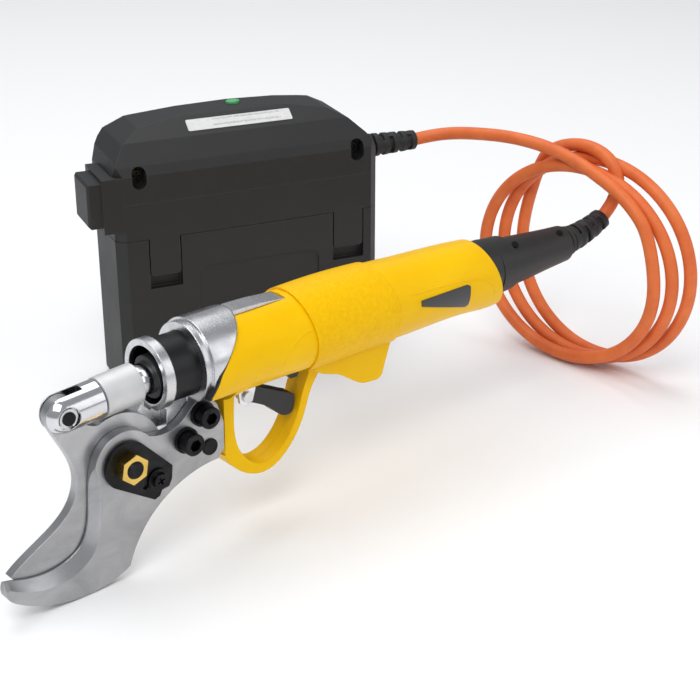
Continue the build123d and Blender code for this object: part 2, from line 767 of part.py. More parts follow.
with BuildPart() as battery_case:
    add(footprint(0))
    extrude(amount=battery_h)
    chamfer(battery_case.faces().sort_by(Axis.Z)[0].edges(), length=2.5)
    add(footprint(2.5, inset=2.5))
    extrude(amount=battery_h - 5.0, mode=Mode.SUBTRACT)
    for low_u, high_u in leg_spans:
        with BuildSketch(front(-half_d + leg_depth + 2.8)):
            with Locations(((low_u + high_u) / 2, (58 + battery_h) / 2)):
                Rectangle(high_u - low_u + 6, battery_h - 58)
        extrude(amount=2.8)
        with BuildSketch(front(-half_d + leg_depth + gap)):
            with Locations(((low_u + high_u) / 2, (60.5 + battery_h) / 2 + 1)):
                Rectangle(high_u - low_u + 1.2, battery_h - 60.5 + 2)
        extrude(amount=10, mode=Mode.SUBTRACT)
    with BuildSketch(front(-half_d + 0.9)):
        with Locations((sum(panel_span) / 2, (panel_top_z + 9) / 2)):
            RectangleRounded(panel_span[1] - panel_span[0], panel_top_z - 9, 6)
    extrude(amount=5, mode=Mode.SUBTRACT)

with BuildPart() as battery_front:
    add(battery_case.part)
    split(bisect_by=front(case_parting_v), keep=Keep.TOP)
save(battery_front.part, "battery_front")

with BuildPart() as battery_back:
    add(battery_case.part)
    split(bisect_by=front(case_parting_v), keep=Keep.BOTTOM)
save(battery_back.part, "battery_back")

cell_r, cell_length, cell_pitch_z, cell_pitch_v = 9.0, 65.0, 18.2, 18.6
with BuildPart() as battery_cells:
    for low_u in (-66.3, 1.3):
        with BuildSketch(flank(low_u)):
            with Locations((0, 12.4 + cell_pitch_z)):
                with GridLocations(cell_pitch_v, cell_pitch_z, 2, 3):
                    Circle(cell_r)
        extrude(amount=cell_length)
save(battery_cells.part, "battery_cells")

with BuildPart() as cell_holders:
    for low_u, thick in ((-68.4, 1.9), (-1.1, 2.2), (66.5, 1.9)):
        with BuildSketch(flank(low_u)):
            with Locations((0, 30.2)):
                RectangleRounded(38, 53, 4)
        extrude(amount=thick)
save(cell_holders.part, "cell_holders")

with BuildPart() as battery_board:
    with BuildSketch(level(61.0)):
        with Locations((0, 3)):
            Rectangle(118, 26)
    extrude(amount=1.6)
    with BuildSketch(level(62.6)):
        with Locations((0, 3)):
            with GridLocations(14, 10, 8, 2):
                Rectangle(8, 6)
    extrude(amount=2.4)
save(battery_board.part, "battery_board")

with BuildPart() as battery_terminals:
    with BuildSketch(level(battery_h)):
        with Locations((4, 2)):
            RectangleRounded(44, 16, 2)
    extrude(amount=4.0)
    with BuildSketch(level(battery_h + 4)):
        with Locations((4, 2)):
            with GridLocations(10, 1, 4, 1):
                Rectangle(1.2, 9)
    extrude(amount=7.0)
save(battery_terminals.part, "battery_terminals")

cap_low_z = battery_h + gap
with BuildPart() as cap_body:
    add(footprint(cap_low_z))
    extrude(amount=cap_seam_z - cap_low_z)
    add(footprint(cap_low_z, inset=2.5))
    extrude(amount=cap_seam_z - cap_low_z, mode=Mode.SUBTRACT)
    for low_u, high_u in leg_spans:
        with BuildSketch(front(-half_d + leg_depth)):
            with Locations(((low_u + high_u) / 2, (leg_foot_z + cap_seam_z - 6) / 2)):
                RectangleRounded(high_u - low_u, cap_seam_z - 6 - leg_foot_z, 2)
        extrude(amount=leg_depth)
    for side_u in (-1, 1):
        with BuildSketch(level(cap_low_z + 3)):
            with Locations((side_u * 60, 17.2)):
                Circle(4.2)
                Circle(1.55, mode=Mode.SUBTRACT)
        extrude(amount=cap_seam_z - cap_low_z - 3)
save(cap_body.part, "cap_body")

# cover: the arched front view crossed with the stepped side view
cover_front_view = [(-74, 122), (-71.5, 129.5), (-66, 137.0), (-55, 142.6), (-28, 146.0), (0, 147),
                    (28, 145.4), (50, 142.0), (60, 137.0), (68, 129.5), (74, 121)]
cover_side_view = [(-23, 122.5), (-20.6, 127.4), (-12.6, 137.4), (-1.6, 145.2), (1.6, 147), (15, 147),
                   (20.5, 143), (23, 137)]


def cover_solid(inset):
    """The cover's outer form, moved in by inset."""
    with BuildPart() as form:
        with BuildSketch(front(half_d - inset)):
            Polygon(*cover_front_view, (74, cap_seam_z - 20), (-74, cap_seam_z - 20), align=None)
            if inset:
                offset(amount=-inset)
        extrude(amount=battery_d - 2 * inset)
        with BuildSketch(flank(-half_w + inset)):
            Polygon(*cover_side_view, (half_d, cap_seam_z - 20), (-half_d, cap_seam_z - 20), align=None)
            if inset:
                offset(amount=-inset)
        extrude(amount=battery_w - 2 * inset, mode=Mode.INTERSECT)
        add(footprint(cap_seam_z, inset=inset))
        extrude(amount=60, mode=Mode.INTERSECT)
    return form.part


cap_screw_points = [(-60.5, 121.5), (61.0, 121.5)]
with BuildPart() as cap_cover:
    add(cover_solid(0))
    add(cover_solid(2.5), mode=Mode.SUBTRACT)
    # pockets that hold the two screws, open to the front
    with BuildSketch(front(-half_d + 9.5)):
        with Locations(*cap_screw_points):
            RectangleRounded(11.5, 15.5, 5.5)
    extrude(amount=9)
    add(cover_solid(0), mode=Mode.INTERSECT)
    with BuildSketch(front(-half_d + 7.5)):
        with Locations(*cap_screw_points):
            RectangleRounded(7.6, 11.6, 3.7)
    extrude(amount=20, mode=Mode.SUBTRACT)
    with BuildSketch(level(130)):
        with Locations((1.5, 7)):
            Ellipse(4.1, 2.9)
    extrude(amount=30, mode=Mode.SUBTRACT)
save(cap_cover.part, "cap_cover")

with BuildPart() as cap_screws:
    with BuildSketch(front(-half_d + 7.45)):
        with Locations(*cap_screw_points):
            Circle(3.2)
    extrude(amount=1.8)
    with BuildSketch(front(-half_d + 5.65)):
        with Locations(*cap_screw_points):
            Rectangle(4, 0.9)
            Rectangle(0.9, 4)
    extrude(amount=-0.9, mode=Mode.SUBTRACT)
save(cap_screws.part, "cap_screws")

with BuildPart() as power_button:
    with BuildSketch(level(140)):
        with Locations((1.5, 7)):
            Ellipse(3.8, 2.6)
    extrude(amount=8.3)
    with BuildSketch(level(140)):
        with Locations((1.5, 7)):
            Ellipse(6.0, 4.6)
    extrude(amount=1.4)
    fillet(power_button.faces().sort_by(Axis.Z)[-1].edges(), radius=0.6)
save(power_button.part, "power_button")

slope_normal = v_dir * -0.578 + Vector(0, 0, 0.816)
with BuildPart() as rating_label:
    slope_mid = v_dir * -7.1 + Vector(0, 0, 141.3)
    with BuildSketch(Plane(origin=slope_mid + slope_normal * 0.02, x_dir=u_dir, z_dir=slope_normal)):
        RectangleRounded(58, 7.4, 0.8)
    extrude(amount=0.3)
save(rating_label.part, "rating_label")

with BuildPart() as adapter_board:
    with BuildSketch(level(100)):
        with Locations((0, 0)):
            Rectangle(96, 32)
    extrude(amount=1.6)
    with BuildSketch(level(101.6)):
        with GridLocations(17, 13, 5, 2):
            Rectangle(10, 8)
    extrude(amount=6.0)
save(adapter_board.part, "adapter_board")

with BuildPart() as strap_lug:
    # flange over the flank, its front edge following the battery's bevelled corner
    with BuildSketch(level(94)):
        Polygon((-half_w - 6.4, 8), (-half_w - 6.4, -half_d), (-half_w + 4.9, -half_d),
                (-half_w - 0.02, -half_d + 4.95), (-half_w - 0.02, 8), align=None)
    extrude(amount=29)
    with BuildSketch(level(97.5)):
        Polygon((-half_w - 14, 3), (-half_w - 14, -half_d + 1), (-half_w - 6.4, -half_d + 1),
                (-half_w - 6.4, 3), align=None)
    extrude(amount=23.5)
    chamfer(strap_lug.edges().sort_by(Axis(origin=(0, 0, 0), direction=u_dir))[0:4], length=1.2)
save(strap_lug.part, "strap_lug")

relief_z = 115.6
relief_end_u = half_w + 32
with BuildPart() as battery_relief:
    with BuildSketch(flank(half_w + 0.02)):
        with Locations((0, relief_z)):
            RectangleRounded(19, 13.4, 3)
    extrude(amount=3)
    for u, r in ((half_w + 3, 6.6), (relief_end_u, 5.3)):
        with BuildSketch(flank(u)):
            with Locations((0, relief_z)):
                Circle(r)
    loft()
save(battery_relief.part, "battery_relief")


# ================================================================ cable
def at(x, y, z):
    return Vector(hand_x + x, hand_y + y, z)


lead_start = u_dir * relief_end_u + Vector(0, 0, relief_z)
lead_points = [lead_start, at(304.5, 112.8, 117.2), at(311.5, 101.5, 119.8), at(316.2, 86.5, 121.8),
               at(320.8, 70.5, 123.0), at(325.4, 54.5, 122.4), at(328.8, 38.8, 120.0),
               at(329.8, 24.6, 116.8), at(329.4, 10.6, 112.8)]
tail_points = [at(330.4, 7.4, 90.6), at(334.8, 6.0, 95.8), at(337.4, 4.8, 102.4), at(338.2, 4.0, 110.2),
               at(338.0, 7.8, 118.0), at(337.8, 15.6, 122.8), at(338.0, 25.4, 124.2), at(339.4, 37.0, 122.6),
               at(341.6, 50.6, 117.6), at(343.2, 62.6, 109.6)]


def cord_tube(points, name):
    """Straight runs joined by tangent arcs, each as large as its two runs allow."""
    runs = [b - a for a, b in zip(points, points[1:])]
    radii = []
    for before, after in zip(runs, runs[1:]):
        half_turn = math.radians(before.get_angle(after) / 2)
        radii.append(0.45 * min(before.length, after.length) / math.tan(half_turn))
    with BuildPart() as tube:
        with BuildLine() as path:
            FilletPolyline(*points, radius=radii)
        with BuildSketch(Plane(origin=points[0], z_dir=runs[0])):
            Circle(cord_d / 2)
        sweep()
    section = math.pi * cord_d ** 2 / 4
    length = sum(edge.length for edge in path.edges())
    print(name, "length", round(length, 1), "volume/section", round(tube.part.volume / section, 1))
    print(name, "radii", [round(r, 1) for r in radii])
    save(tube.part, name)


cord_tube(lead_points, "cord_lead")
cord_tube(tail_points, "cord_tail")

# coil: three loose turns that stand on edge, fanned out from the battery's side to the plug's side
coil_heading = math.radians(-84)
coil_across = Vector(math.cos(coil_heading), math.sin(coil_heading), 0)
coil_axis = Vector(-math.sin(coil_heading), math.cos(coil_heading), 0)
coil_near_size, coil_far_size = (60.8, 53.5), (59.2, 59.5)      # half width and half height of an end turn
coil_near = at(325.1, 31.4, coil_near_size[1] + cord_d / 2)
coil_far = at(325.1, 31.4, coil_far_size[1] + cord_d / 2) + coil_axis * 20.6 + coil_across * 19.8


def coil_ring(centre, size, along, wider):
    """Sketch of an end turn's oval on its plane, moved along the coil's axis and made wider all round."""
    plane = Plane(origin=centre + coil_axis * along, x_dir=coil_across, z_dir=coil_axis)
    with BuildSketch(plane) as oval:
        Ellipse(size[0] + wider, size[1] + wider)
    return oval.sketch


with BuildPart() as cord_coil:
    add(coil_ring(coil_near, coil_near_size, -cord_d / 2, cord_d / 2))
    add(coil_ring(coil_far, coil_far_size, cord_d / 2, cord_d / 2))
    loft()
    add(coil_ring(coil_near, coil_near_size, -cord_d / 2, -cord_d / 2))
    add(coil_ring(coil_far, coil_far_size, cord_d / 2, -cord_d / 2))
    loft(mode=Mode.SUBTRACT)
save(cord_coil.part, "cord_coil")
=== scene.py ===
"""Looks of the battery electric pruner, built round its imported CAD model.

The scene is in metres. Places on the object are given in its own millimetres, through at() and on_battery().
"""

import math

import bmesh
import bpy
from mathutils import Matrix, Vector
from mathutils.bvhtree import BVHTree


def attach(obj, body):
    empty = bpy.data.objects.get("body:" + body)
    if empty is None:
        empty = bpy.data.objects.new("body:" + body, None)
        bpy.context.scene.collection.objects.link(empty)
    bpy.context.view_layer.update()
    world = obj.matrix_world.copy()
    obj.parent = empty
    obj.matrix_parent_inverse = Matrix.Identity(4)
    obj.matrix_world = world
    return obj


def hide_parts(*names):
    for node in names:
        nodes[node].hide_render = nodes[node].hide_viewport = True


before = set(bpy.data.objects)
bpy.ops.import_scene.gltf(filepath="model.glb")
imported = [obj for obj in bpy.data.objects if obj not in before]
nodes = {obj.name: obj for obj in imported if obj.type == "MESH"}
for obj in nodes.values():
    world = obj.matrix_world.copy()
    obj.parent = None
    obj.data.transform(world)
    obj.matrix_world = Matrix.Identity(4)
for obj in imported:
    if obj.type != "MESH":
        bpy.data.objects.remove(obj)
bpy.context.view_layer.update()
scene = bpy.context.scene

MM = 0.001
HANDSET = Vector((-0.194, -0.148, 0.0))      # where the handset's own axes start in the frame
MID_Y = 7.4                                  # the handset's middle plane, in its own millimetres
BATTERY_YAW = math.radians(-17)
BATTERY_U = Vector((math.cos(BATTERY_YAW), math.sin(BATTERY_YAW), 0))
BATTERY_V = Vector((-math.sin(BATTERY_YAW), math.cos(BATTERY_YAW), 0))
UP = Vector((0, 0, 1))


def at(x, y, z):
    """A point given in the handset's millimetres."""
    return HANDSET + Vector((x, y, z)) * MM


def on_battery(u, v, z):
    """A point given in the battery's millimetres: along its width, its depth and up."""
    return (BATTERY_U * u + BATTERY_V * v + UP * z) * MM


# ---------------------------------------------------------------- camera
camera_data = bpy.data.cameras.new("camera")
camera_data.lens = 79.714
camera_data.sensor_width = 36
camera_data.clip_start = 0.01
camera = bpy.data.objects.new("camera", camera_data)
camera.location = (-0.4775, -0.6423, 0.369)
camera.rotation_euler = (math.radians(65.5), 0, math.radians(-41))
scene.collection.objects.link(camera)
scene.camera = camera
scene.view_settings.view_transform = "Standard"


# ---------------------------------------------------------------- material kit
class Finish:
    """One procedural material. Its textures are laid out in the frame's metres, so scales are true sizes."""

    def __init__(self, name, roughness=0.5, metallic=0.0, **sockets):
        self.material = bpy.data.materials.new(name)
        self.material.use_nodes = True
        tree = self.material.node_tree
        self.nodes, self.links = tree.nodes, tree.links
        self.nodes.clear()
        self.shader = self.nodes.new("ShaderNodeBsdfPrincipled")
        output = self.nodes.new("ShaderNodeOutputMaterial")
        self.links.new(self.shader.outputs["BSDF"], output.inputs["Surface"])
        self.place = self.nodes.new("ShaderNodeTexCoord").outputs["Object"]
        self.shader.inputs["Roughness"].default_value = roughness
        self.shader.inputs["Metallic"].default_value = metallic
        for socket, value in sockets.items():
            self.shader.inputs[socket.replace("_", " ")].default_value = value

    def add(self, kind, inputs=(), **settings):
        """Makes a node, sets its properties and wires or sets its inputs."""
        node = self.nodes.new(kind)
        for key, value in settings.items():
            setattr(node, key, value)
        for key, value in dict(inputs).items():
            if isinstance(value, bpy.types.NodeSocket):
                self.links.new(value, node.inputs[key])
            else:
                node.inputs[key].default_value = value
        return node

    def noise(self, size, detail=3.0, stretch=(1, 1, 1), turn=(0, 0, 0), distortion=0.0):
        """Noise from 0 to 1 with lumps of about the given size in metres, longer along a stretched axis."""
        mapping = self.add("ShaderNodeMapping", {"Vector": self.place, "Rotation": turn,
                                                 "Scale": [1 / (size * s) for s in stretch]})
        return self.add("ShaderNodeTexNoise", {"Vector": mapping.outputs[0], "Scale": 1.0, "Detail": detail,
                                               "Roughness": 0.55, "Distortion": distortion}).outputs[0]

    def cells(self, size, feature="F1"):
        """Distance field of scattered cells about the given size in metres."""
        mapping = self.add("ShaderNodeMapping", {"Vector": self.place, "Scale": [1 / size] * 3})
        return self.add("ShaderNodeTexVoronoi", {"Vector": mapping.outputs[0], "Scale": 1.0},
                        feature=feature).outputs["Distance"]

    def remap(self, value, low, high, to_low, to_high):
        return self.add("ShaderNodeMapRange", {0: value, 1: low, 2: high, 3: to_low, 4: to_high}).outputs[0]

    def maths(self, operation, a, b=0.0):
        return self.add("ShaderNodeMath", {0: a, 1: b}, operation=operation).outputs[0]

    def mix(self, amount, a, b):
        """Colour a where amount is 0 and b where it is 1."""
        node = self.add("ShaderNodeMix", {0: amount}, data_type="RGBA")
        for socket, colour in ((node.inputs[6], a), (node.inputs[7], b)):
            if isinstance(colour, bpy.types.NodeSocket):
                self.links.new(colour, socket)
            else:
                socket.default_value = (*colour, 1)
        return node.outputs[2]

    def edges(self, radius, low=0.03, high=0.25):
        """From 0 on flat ground to 1 on an edge rounded by the given radius."""
        rounded = self.add("ShaderNodeBevel", {"Radius": radius}, samples=6).outputs[0]
        geometry = self.add("ShaderNodeNewGeometry")
        dot = self.add("ShaderNodeVectorMath", {0: rounded, 1: geometry.outputs["Normal"]},
                       operation="DOT_PRODUCT").outputs["Value"]
        return self.remap(self.maths("SUBTRACT", 1.0, dot), low, high, 0.0, 1.0)

    def bump(self, height, depth, strength, rounding=0.0):
        """Bump of the given depth in metres, over edges rounded by the given radius."""
        inputs = {"Height": height, "Distance": depth, "Strength": strength}
        if rounding:
            inputs["Normal"] = self.add("ShaderNodeBevel", {"Radius": rounding}, samples=6).outputs[0]
        return self.add("ShaderNodeBump", inputs).outputs[0]

    def use(self, colour=None, roughness=None, normal=None):
        for socket, value in (("Base Color", colour), ("Roughness", roughness), ("Normal", normal)):
            if value is not None:
                self.links.new(value, self.shader.inputs[socket])
        return self.material


def moulded(name, dark, light, roughness, grain=0.00035, depth=0.00004, rounding=0.0004, edge_light=0.35,
            **sockets):
    """Moulded plastic: fine spark-eroded texture, soft mottling and a painted highlight on its rounded
    edges.
    """
    f = Finish(name, roughness, **sockets)
    cloud = f.remap(f.noise(0.02, 4), 0.3, 0.7, 0.0, 1.0)
    fine = f.noise(grain, 2)
    colour = f.mix(cloud, dark, light)
    if edge_light:
        # painted highlight: the rounded edges are painted lighter in the colour
        painted_edge_highlight = f.maths("MULTIPLY", f.edges(rounding * 1.4), edge_light)
        colour = f.mix(painted_edge_highlight, colour, [min(1, 2.2 * c + 0.01) for c in light])
    speckle = f.maths("ADD", f.maths("MULTIPLY", cloud, 0.5), fine)
    rough = f.remap(speckle, 0.3, 1.2, roughness - 0.06, roughness + 0.07)
    return f.use(colour, rough, f.bump(fine, depth, 0.8, rounding))


def metal(name, dark, light, roughness, spread=0.08, grain=0.0006, stretch=(1, 1, 1), depth=0.00001,
          rounding=0.0003, cloud_size=0.012):
    """Machined or cast metal: faint streaks or grain, clouded brightness, rounded edges."""
    f = Finish(name, roughness, metallic=1.0)
    cloud = f.remap(f.noise(cloud_size, 5, distortion=0.6), 0.32, 0.68, 0.0, 1.0)
    streak = f.noise(grain, 3, stretch)
    shade = f.maths("ADD", f.maths("MULTIPLY", cloud, 0.65), f.maths("MULTIPLY", streak, 0.35))
    colour = f.mix(shade, dark, light)
    smoothest = max(0.02, roughness - spread)
    rough = f.remap(f.maths("ADD", cloud, streak), 0.4, 1.6, roughness + spread, smoothest)
    return f.use(colour, rough, f.bump(streak, depth, 0.9, rounding))


YELLOW_DARK, YELLOW_LIGHT = (0.84, 0.47, 0.001), (0.90, 0.53, 0.001)
YELLOW_SHEEN = (1.0, 0.72, 0.10, 1)          # keeps the highlights on the yellow plastic warm


def grained_yellow():
    """Soft yellow grip with a leather grain."""
    f = Finish("yellow_grip", 0.5, Specular_IOR_Level=0.35, Specular_Tint=YELLOW_SHEEN)
    warped = f.noise(0.0030, 3, distortion=1.2)
    pebbles = f.cells(0.0014, "SMOOTH_F1")
    height = f.maths("ADD", f.maths("MULTIPLY", pebbles, 0.9), f.maths("MULTIPLY", warped, 0.9))
    colour = f.mix(f.remap(height, 0.3, 1.3, 0, 1), (0.80, 0.43, 0.001), YELLOW_LIGHT)
    return f.use(colour, f.remap(height, 0.3, 1.3, 0.55, 0.42), f.bump(height, 0.00028, 0.8, 0.0006))


def shell_yellow():
    f = Finish("yellow_shell", 0.36, Specular_IOR_Level=0.4, Specular_Tint=YELLOW_SHEEN)
    cloud = f.remap(f.noise(0.03, 3), 0.3, 0.7, 0, 1)
    fine = f.noise(0.0005, 2)
    return f.use(f.mix(cloud, YELLOW_DARK, YELLOW_LIGHT), f.remap(fine, 0.3, 0.7, 0.33, 0.43),
                 f.bump(fine, 0.00002, 0.6, 0.0006))


def blade_metal():
    """Ground tool steel: clouded satin grey with grinding lines running up the blade."""
    f = Finish("blade_steel", 0.36, metallic=1.0)
    cloud = f.remap(f.noise(0.022, 6, distortion=0.8), 0.3, 0.7, 0, 1)
    lines = f.noise(0.0005, 4, stretch=(14, 1, 1), turn=(0, math.radians(35), 0))
    shade = f.maths("ADD", f.maths("MULTIPLY", cloud, 0.7), f.maths("MULTIPLY", lines, 0.3))
    colour = f.mix(shade, (0.30, 0.30, 0.31), (0.50, 0.50, 0.51))
    # painted highlight: the rounded edges of the blade are painted a lighter grey in the colour
    colour = f.mix(f.maths("MULTIPLY", f.edges(0.0005), 0.5), colour, (0.70, 0.70, 0.71))
    return f.use(colour, f.remap(shade, 0.2, 0.8, 0.46, 0.30), f.bump(lines, 0.000012, 0.8, 0.0004))


def cable_orange():
    """Matt polyurethane jacket."""
    f = Finish("cable_jacket", 0.5, Specular_IOR_Level=0.35)
    cloud = f.remap(f.noise(0.012, 4), 0.3, 0.7, 0, 1)
    fine = f.noise(0.0004, 2)
    return f.use(f.mix(cloud, (0.66, 0.13, 0.03), (0.76, 0.18, 0.045)), f.remap(fine, 0.3, 0.7, 0.42, 0.55),
                 f.bump(fine, 0.00003, 0.7))


def printed_label():
    """White sticker with faint ruled lines in place of its print."""
    f = Finish("label_print", 0.4, Specular_IOR_Level=0.4)
    turned = f.add("ShaderNodeMapping", {"Vector": f.place, "Rotation": (0, 0, -BATTERY_YAW)}).outputs[0]
    parts = f.add("ShaderNodeSeparateXYZ", {0: turned}).outputs
    row = f.maths("PINGPONG", parts[2], 0.0011)
    dash = f.noise(0.0016, 1, stretch=(1.0, 0.2, 0.2))
    ruled = f.maths("MULTIPLY", f.remap(row, 0.0003, 0.00035, 1, 0), f.remap(dash, 0.44, 0.48, 0, 1))
    inside = f.maths("LESS_THAN", f.maths("ABSOLUTE", f.maths("SUBTRACT", parts[0], 0.004)), 0.019)
    ink = f.maths("MULTIPLY", f.maths("MULTIPLY", ruled, inside), 0.6)
    paper = f.mix(f.remap(f.noise(0.004, 3), 0.3, 0.7, 0, 1), (0.58, 0.58, 0.58), (0.66, 0.66, 0.65))
    return f.use(f.mix(ink, paper, (0.25, 0.25, 0.26)), None, f.bump(f.noise(0.0006, 2), 0.00001, 0.5))


def lit_green():
    f = Finish("green_lens", 0.28, Specular_IOR_Level=0.5, Transmission_Weight=0.25)
    depth = f.remap(f.noise(0.002, 3), 0.3, 0.7, 0, 1)
    normal = f.bump(f.noise(0.0005, 2), 0.00001, 0.4, 0.0003)
    return f.use(f.mix(depth, (0.05, 0.42, 0.12), (0.16, 0.62, 0.24)), None, normal)


def circuit_board():
    f = Finish("circuit_green", 0.35, Specular_IOR_Level=0.5)
    tracks = f.remap(f.cells(0.0016), 0.1, 0.14, 1, 0)
    colour = f.mix(tracks, (0.012, 0.10, 0.035), (0.035, 0.22, 0.08))
    return f.use(colour, None, f.bump(tracks, 0.00003, 0.7))


battery_black = moulded("battery_black", (0.0075, 0.0075, 0.0080), (0.0115, 0.0115, 0.0120), 0.55,
                        grain=0.0005, depth=0.00006, rounding=0.0007, edge_light=0.5)
black_plastic = moulded("black_moulding", (0.007, 0.007, 0.0073), (0.012, 0.012, 0.0125), 0.45,
                        edge_light=0.3)
black_rubber = moulded("black_rubber", (0.008, 0.008, 0.0085), (0.014, 0.014, 0.015), 0.55, grain=0.0004,
                       edge_light=0.25)
gloss_black = moulded("badge_black", (0.012, 0.012, 0.013), (0.018, 0.018, 0.020), 0.22, depth=0.00001,
                      rounding=0.0003, Coat_Weight=0.3)
blackened = metal("black_oxide", (0.012, 0.012, 0.013), (0.035, 0.035, 0.037), 0.40, depth=0.00003,
                  grain=0.0004)
tube_black = metal("tube_coating", (0.030, 0.030, 0.032), (0.036, 0.036, 0.038), 0.40, spread=0.03,
                   grain=0.0003)
blade_steel = blade_metal()
chrome = metal("polished_chrome", (0.62, 0.62, 0.64), (0.76, 0.76, 0.77), 0.12, spread=0.04, cloud_size=0.02,
               rounding=0.0005, depth=0.000004)
cast_aluminium = metal("satin_aluminium", (0.52, 0.52, 0.54), (0.70, 0.70, 0.71), 0.27, spread=0.08,
                       grain=0.0007, depth=0.00003, rounding=0.0008, cloud_size=0.009)
matt_sleeve = metal("blasted_sleeve", (0.62, 0.62, 0.63), (0.72, 0.72, 0.72), 0.60, spread=0.05,
                    grain=0.0003, depth=0.00003)
steel = metal("machined_steel", (0.50, 0.50, 0.51), (0.68, 0.68, 0.69), 0.26, grain=0.0004,
              stretch=(1, 6, 6))
brass = metal("gold_nut", (0.58, 0.36, 0.07), (0.80, 0.55, 0.16), 0.22, spread=0.07, depth=0.00001,
              rounding=0.0003)
shell = shell_yellow()
grip = grained_yellow()
jacket = cable_orange()
label = printed_label()
green = lit_green()
board = circuit_board()
cell_wrap = moulded("cell_wrap", (0.02, 0.14, 0.30), (0.03, 0.20, 0.40), 0.30, edge_light=0.2)
inner_white = moulded("inner_moulding", (0.55, 0.55, 0.53), (0.66, 0.66, 0.64), 0.45, edge_light=0.0)

finishes = {
    "adapter_board": board, "badge": gloss_black, "ball_nut": steel, "ball_screw": steel,
    "battery_back": battery_black, "battery_board": board, "battery_cells": cell_wrap,
    "battery_front": battery_black, "battery_relief": black_rubber, "battery_terminals": brass,
    "blade_bolts": blackened, "blade_washers": blackened, "cap_body": battery_black,
    "cap_cover": battery_black, "cap_screws": blackened, "cell_holders": inner_white, "clevis": chrome,
    "clevis_pin": blackened, "control_board": board, "dowel_pin": blackened, "e_clip": steel,
    "fixed_blade": blade_steel, "grip_sleeve": grip, "head_casting": cast_aluminium,
    "head_gasket": black_rubber, "housing_screws": steel, "left_housing": shell, "lock_plate": blackened,
    "lock_screw": blackened, "locking_collar": black_plastic, "motor": steel, "moving_blade": blade_steel,
    "nut_pin": steel, "pivot_bolt": blackened, "pivot_nut": brass, "planetary_gearbox": steel,
    "plug_body": black_plastic, "plug_relief": black_rubber, "plug_screws": blackened,
    "power_button": green, "push_rod": chrome, "rating_label": label, "right_housing": shell,
    "rod_boot": black_rubber, "rod_sleeve": matt_sleeve, "screw_bearing": steel, "screw_tube": tube_black,
    "socket_contacts": brass, "strap_lug": battery_black, "tail_socket": black_plastic,
    "trigger": black_plastic, "trigger_bracket": chrome, "trigger_pin": steel, "trigger_spring": steel,
    "trigger_stop": black_plastic,
}
for name, node in nodes.items():
    node.data.materials.clear()
    node.data.materials.append(finishes.get(name, jacket))
    for polygon in node.data.polygons:
        polygon.material_index = 0


# ---------------------------------------------------------------- detail kit
SHARP_ABOVE = math.radians(40)
STEPS_ROUND = 48              # facets of a full turn


def revolve(mesh, place, profile, start=0.0, stop=360.0):
    """Turns a closed profile of (position, radius) points round the centreline that place() gives."""
    whole = stop - start >= 360
    count = STEPS_ROUND if whole else max(3, round(STEPS_ROUND * (stop - start) / 360)) + 1
    loops = []
    for i in range(count):
        angle = math.radians(start + (stop - start) * i / (count if whole else count - 1))
        loop = []
        for position, radius in profile:
            centre, across, lift = place(position)
            outward = across * math.cos(angle) + lift * math.sin(angle)
            loop.append(mesh.verts.new(centre + outward * radius * MM))
        loops.append(loop)
    for i in range(count if whole else count - 1):
        here, after = loops[i], loops[(i + 1) % count]
        for j in range(len(profile)):
            k = (j + 1) % len(profile)
            mesh.faces.new((here[j], here[k], after[k], after[j]))
    if not whole:
        mesh.faces.new(loops[0])
        mesh.faces.new(list(reversed(loops[-1])))


def finished(mesh, name, material):
    """Turns a bmesh into a scene object that rides the handset and battery's common body."""
    bmesh.ops.recalc_face_normals(mesh, faces=mesh.faces)
    data = bpy.data.meshes.new(name)
    mesh.to_mesh(data)
    mesh.free()
    data.materials.append(material)
    obj = bpy.data.objects.new(name, data)
    scene.collection.objects.link(obj)
    for polygon in data.polygons:
        polygon.use_smooth = True
    data.set_sharp_from_angle(angle=SHARP_ABOVE)
    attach(obj, "body")
    return obj


# ---------------------------------------------------------------- strain reliefs
EDGE = 0.45                   # chamfer on the rings
BORE = 0.5                    # the sleeves are solid but for this
BAR_HALF_ANGLE = 34           # of the two bars that cross a slot
LAP = 0.3                     # how far rings and bars run into what they sit on
BAR_ROOT, BAR_DROP = 0.2, 0.15      # a bar starts inside the sleeve and stays a little below the rings
RELIEF_Z = 115.6              # height of the battery's relief
RELIEF_SLOTS = 4


def band(first, last, inner, radius_at):
    """Closed profile of one ring of a relief, its outer edges chamfered."""
    low, high = radius_at(first), radius_at(last)
    return [(first, inner), (first, low - EDGE), (first + EDGE, low), (last - EDGE, high),
            (last, high - EDGE), (last, inner)]


def segmented(mesh, place, radius_at, begin, end, count, ring, sleeve):
    """A slotted relief: a sleeve with rings, and two bars across each slot, a quarter turn on each time."""
    pitch = (end - begin - ring) / count
    sleeve_ends = (begin - 3.0, end - 0.4)
    revolve(mesh, place, [(sleeve_ends[0], BORE), (sleeve_ends[0], sleeve), (sleeve_ends[1], sleeve),
                          (sleeve_ends[1], BORE)])
    for i in range(count + 1):
        first = begin + pitch * i
        revolve(mesh, place, band(first, first + ring, sleeve - LAP, radius_at))
        if i < count:
            low, high = sleeve - BAR_ROOT, radius_at(first + pitch) - BAR_DROP
            begin_bar, end_bar = first + ring - LAP, first + pitch + LAP
            bar = [(begin_bar, low), (begin_bar, high), (end_bar, high), (end_bar, low)]
            for side_angle in (0, 180):
                angle = side_angle + 90 * (i % 2)
                revolve(mesh, place, bar, angle - BAR_HALF_ANGLE, angle + BAR_HALF_ANGLE)


def on_battery_relief(u):
    """Centre and cross directions of the battery's relief at u."""
    return on_battery(u, 0, RELIEF_Z), BATTERY_V, UP


